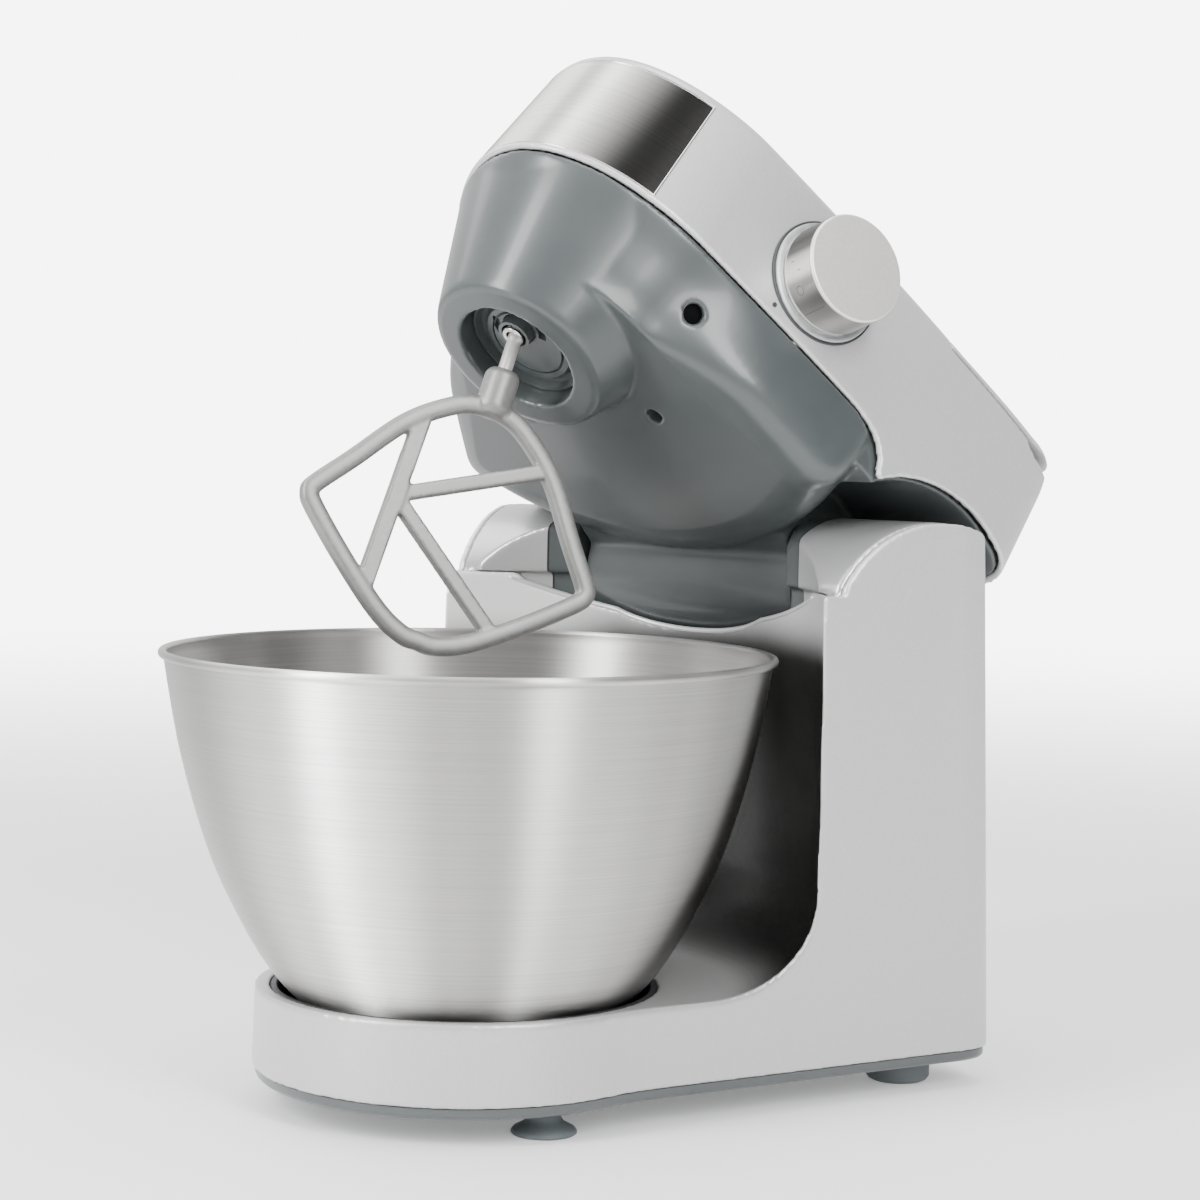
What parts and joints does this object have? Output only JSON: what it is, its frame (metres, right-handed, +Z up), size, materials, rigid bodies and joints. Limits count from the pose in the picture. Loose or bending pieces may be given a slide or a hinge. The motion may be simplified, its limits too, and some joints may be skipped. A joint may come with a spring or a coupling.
{
  "type": "stand mixer",
  "caption": "Tilt-head stand mixer with planetary drive, lattice beater, steel bowl, speed knob, head release lever and covered rear power outlet.",
  "frame": {"origin": "middle of the bounding box on the table surface under the feet", "axes": "+Z up, -Y towards the front of the bowl, +X towards the speed knob; head raised"},
  "size_m": [0.2614, 0.3444, 0.4117],
  "materials": {
    "alloy_casting": "as cast",
    "beater_coating": "satin coated",
    "board_green": "satin",
    "bowl_steel": "brushed",
    "brushed_band": "brushed",
    "dark_plastic": "matte moulded",
    "grey_plastic": "gloss moulded",
    "grey_rubber": "matte",
    "knob_metal": "satin",
    "motor_core": "varnished laminations",
    "silver_paint": "satin silver paint",
    "steel": "ground"
  },
  "bodies": {
    "stand": {"base_shell": "silver_paint", "base_plate": "grey_plastic", "bowl_seat": "dark_plastic", "suction_foot_left": "grey_rubber", "suction_foot_right": "grey_rubber", "rear_foot_left": "grey_rubber", "rear_foot_right": "grey_rubber", "saddle_liner": "grey_plastic", "hinge_pin": "steel", "hinge_bracket": "steel", "latch_spring": "steel", "cord_gland": "grey_rubber"},
    "head": {"head_cover": "silver_paint", "front_band": "brushed_band", "head_underside": "grey_plastic", "cover_screw_1": "steel", "cover_screw_2": "steel", "cover_screw_3": "steel", "cover_screw_4": "steel", "gear_housing": "alloy_casting", "gear_cover": "alloy_casting", "lower_bearing": "steel", "upper_bearing": "steel", "ring_gear": "steel", "motor_stator": "motor_core", "drive_belt": "grey_rubber", "knob_bezel": "knob_metal", "speed_switch": "dark_plastic", "control_board": "board_green"},
    "outlet_lid": {"outlet_cover": "silver_paint"},
    "hub": {"planet_carrier": "alloy_casting", "drive_wheel": "alloy_casting"},
    "planet": {"planet_gear": "steel", "beater_socket": "alloy_casting"},
    "layshaft": {"layshaft": "steel", "pinion": "steel", "large_pulley": "dark_plastic"},
    "rotor": {"motor_rotor": "steel", "cooling_fan": "dark_plastic", "motor_pulley": "dark_plastic", "outlet_coupling": "dark_plastic"},
    "knob": {"speed_knob": "knob_metal"},
    "beater": {"beater_frame": "beater_coating", "beater_shaft": "steel", "beater_pin": "steel"},
    "bowl": {"bowl": "bowl_steel", "bowl_foot": "bowl_steel"},
    "lever": {"release_lever": "grey_plastic", "latch_pawl": "steel"}
  },
  "joints": [
    {"name": "head_tilt", "type": "hinge", "parent": "stand", "child": "head", "pos_m": [0, 0.1043, 0.2004], "axis": [1, 0, 0], "range_deg": [0, 46.5]},
    {"name": "hub_spin", "type": "hinge", "parent": "head", "child": "hub", "pos_m": [0, -0.02911, 0.28955], "axis": [0, 0.7254, 0.6884], "continuous": true},
    {"name": "planet_spin", "type": "hinge", "parent": "hub", "child": "planet", "pos_m": [0, -0.03427, 0.29499], "axis": [0, 0.7254, 0.6884], "continuous": true},
    {"name": "beater_hang", "type": "hinge", "parent": "planet", "child": "beater", "pos_m": [0, -0.02847, 0.3005], "axis": [1, 0, 0], "range_deg": [-22.9, 0]},
    {"name": "layshaft_spin", "type": "hinge", "parent": "head", "child": "layshaft", "pos_m": [0, -0.00329, 0.26235], "axis": [0, 0.7254, 0.6884], "continuous": true},
    {"name": "rotor_spin", "type": "hinge", "parent": "head", "child": "rotor", "pos_m": [0, 0.04386, 0.21266], "axis": [0, 0.7254, 0.6884], "continuous": true},
    {"name": "speed_knob_turn", "type": "hinge", "parent": "head", "child": "knob", "pos_m": [0.0842, 0.05875, 0.32191], "axis": [0.9321, -0.2494, 0.2628], "range_deg": [-240, 30]},
    {"name": "outlet_cover_lift", "type": "slide", "parent": "head", "child": "outlet_lid", "axis": [0, 0.7254, 0.6884], "range_m": [0, 0.03]},
    {"name": "bowl_twist", "type": "hinge", "parent": "stand", "child": "bowl", "pos_m": [0, -0.0522, 0.026], "axis": [0, 0, 1], "range_deg": [0, 35]},
    {"name": "release_lever_press", "type": "hinge", "parent": "stand", "child": "lever", "pos_m": [-0.12, 0.0778, 0.146], "axis": [1, 0, 0], "range_deg": [-12, 0], "stiffness_Nm_per_rad": 0.5}
  ],
  "couplings": [
    {"joint": "planet_spin", "follows": "hub_spin", "ratio": -1.6667},
    {"joint": "layshaft_spin", "follows": "hub_spin", "ratio": -4},
    {"joint": "rotor_spin", "follows": "hub_spin", "ratio": -15},
    {"joint": "beater_hang", "follows": "head_tilt", "ratio": -0.49247}
  ]
}
